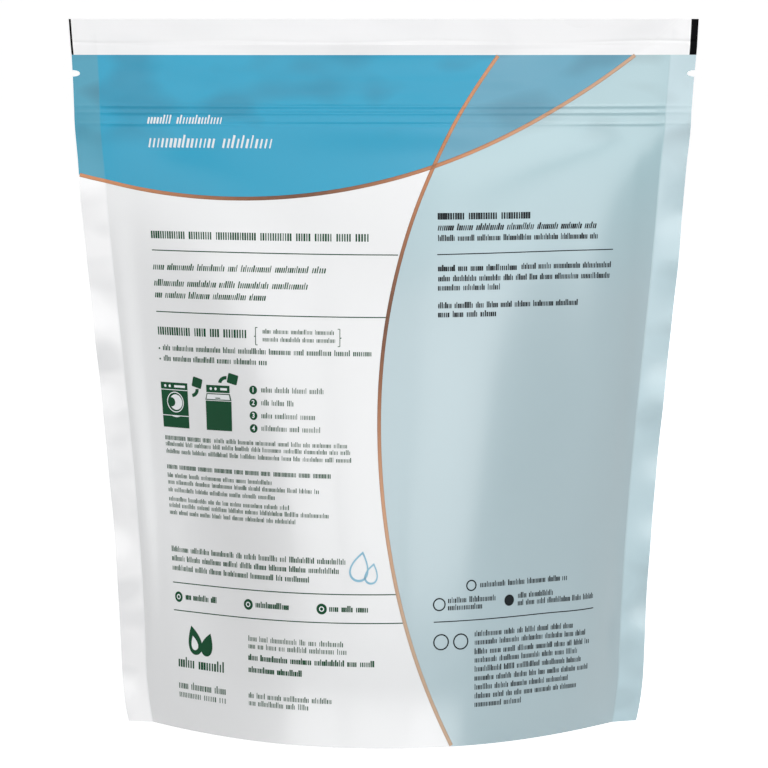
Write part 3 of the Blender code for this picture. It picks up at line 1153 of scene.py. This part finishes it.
# %% Camera
CAMERA_DISTANCE = 1.4165
CAMERA_PITCH = math.radians(5.65)
CAMERA_TARGET = Vector((0.0005, 0.0, 0.1117))
FRAME_PIXELS = 768
FOCAL_PIXELS = 4338.7
SENSOR = 36.0  # millimetres

camera = bpy.data.objects.new("camera", bpy.data.cameras.new("camera"))
link(camera)
camera.data.sensor_width = SENSOR
camera.data.lens = FOCAL_PIXELS / FRAME_PIXELS * SENSOR
back_off = Vector((0, -math.cos(CAMERA_PITCH), math.sin(CAMERA_PITCH)))
camera.location = CAMERA_TARGET + back_off * CAMERA_DISTANCE
camera.rotation_euler = (math.pi / 2 - CAMERA_PITCH, 0, 0)
bpy.context.scene.camera = camera

# %% [markdown]
# Film needs something to reflect. Three soft boxes a little above the pouch's height, to the
# left, near the camera and to the right, shade the panel so that it looks round. Two larger ones
# higher up light the shoulders and the header, and two behind light the back for other views.

# %% Light and floor
LIT_POINT = Vector((0, 0, 0.12))
LIGHT_DISTANCE = 2.2


def soft_box(name, bearing, rise, size, power):
    """A lamp at a bearing to the right of the camera side and a rise above level, in degrees."""
    turn, tilt = math.radians(bearing), math.radians(rise)
    level = math.cos(tilt)
    out = Vector((math.sin(turn) * level, -math.cos(turn) * level, math.sin(tilt)))
    lamp = bpy.data.lights.new(name, "AREA")
    lamp.shape, lamp.size, lamp.size_y, lamp.energy = "RECTANGLE", size[0], size[1], power
    box = bpy.data.objects.new(name, lamp)
    box.location = LIT_POINT + out * LIGHT_DISTANCE
    box.rotation_euler = (-out).to_track_quat("-Z", "Y").to_euler()
    link(box)


for name, bearing, rise, size, power in (
    ("left_box", -38, 10, (1.2, 1.0), 5.7),
    ("front_box", -4, 10, (1.2, 1.0), 5.1),
    ("right_box", 28, 10, (1.15, 1.0), 7.1),
    ("high_front_box", 0, 45, (2.4, 1.5), 13.3),
    ("high_right_box", 40, 45, (1.6, 1.4), 7.4),
    ("back_left_box", -150, 25, (1.4, 1.2), 5),
    ("back_right_box", 150, 25, (1.4, 1.2), 8),
):
    soft_box(name, bearing, rise, size, power)


FILL_LIGHT = 0.15  # strength of the world's light on the pouch
FLOOR_GLOW = 0.80  # and of the floor's own white, as the camera sees it
FLOOR_HALF = 60.0  # metres
FLOOR_DROP = 0.2 * MM  # keeps the floor clear of the pouch's foot


def studio_world():
    """Even white where it is seen or mirrored, and a weak fill elsewhere."""
    world = bpy.data.worlds.new("studio")
    world.use_nodes = True
    bpy.context.scene.world = world
    nodes = Nodes(world.node_tree)
    world.node_tree.nodes.clear()
    seen = nodes.add("ShaderNodeLightPath", output="Is Camera Ray")
    glossy = nodes.add("ShaderNodeLightPath", output="Is Glossy Ray")
    through = nodes.add("ShaderNodeLightPath", output="Is Transmission Ray")
    shown = seen.maths("MAXIMUM", glossy).maths("MAXIMUM", through)
    fill = nodes.white("ShaderNodeBackground", FILL_LIGHT)
    white_wall = nodes.white("ShaderNodeBackground", 1.0)
    both = nodes.add("ShaderNodeMixShader", None, {0: shown, 1: fill, 2: white_wall})
    output = world.node_tree.nodes.new("ShaderNodeOutputWorld")
    world.node_tree.links.new(both.out, output.inputs[0])


def pale_floor():
    """A white floor that still takes the pouch's shadow."""
    mesh = bmesh.new()
    bmesh.ops.create_grid(mesh, x_segments=1, y_segments=1, size=FLOOR_HALF)
    data = mesh_data(mesh, "floor")
    material, nodes, shader = new_material("floor", Base_Color=(0.8, 0.8, 0.8, 1), Roughness=0.9)
    seen = nodes.add("ShaderNodeLightPath", output="Is Camera Ray")
    mirrored = nodes.add("ShaderNodeLightPath", output="Is Glossy Ray") * 0.8
    seen = seen.maths("MAXIMUM", mirrored)
    glow = nodes.white("ShaderNodeEmission", FLOOR_GLOW)
    lit = Socket(nodes, shader.outputs[0])
    none = nodes.white("ShaderNodeEmission", 0.0)
    extra = nodes.add("ShaderNodeMixShader", None, {0: seen, 1: none, 2: glow})
    total = nodes.add("ShaderNodeAddShader", None, {0: lit, 1: extra})
    output = next(n for n in material.node_tree.nodes if n.type == "OUTPUT_MATERIAL")
    nodes.tree.links.new(total.out, output.inputs[0])
    floor = add_piece("floor", data, material)
    floor.location.z = -FLOOR_DROP


studio_world()
pale_floor()
bpy.context.scene.view_settings.view_transform = "Standard"
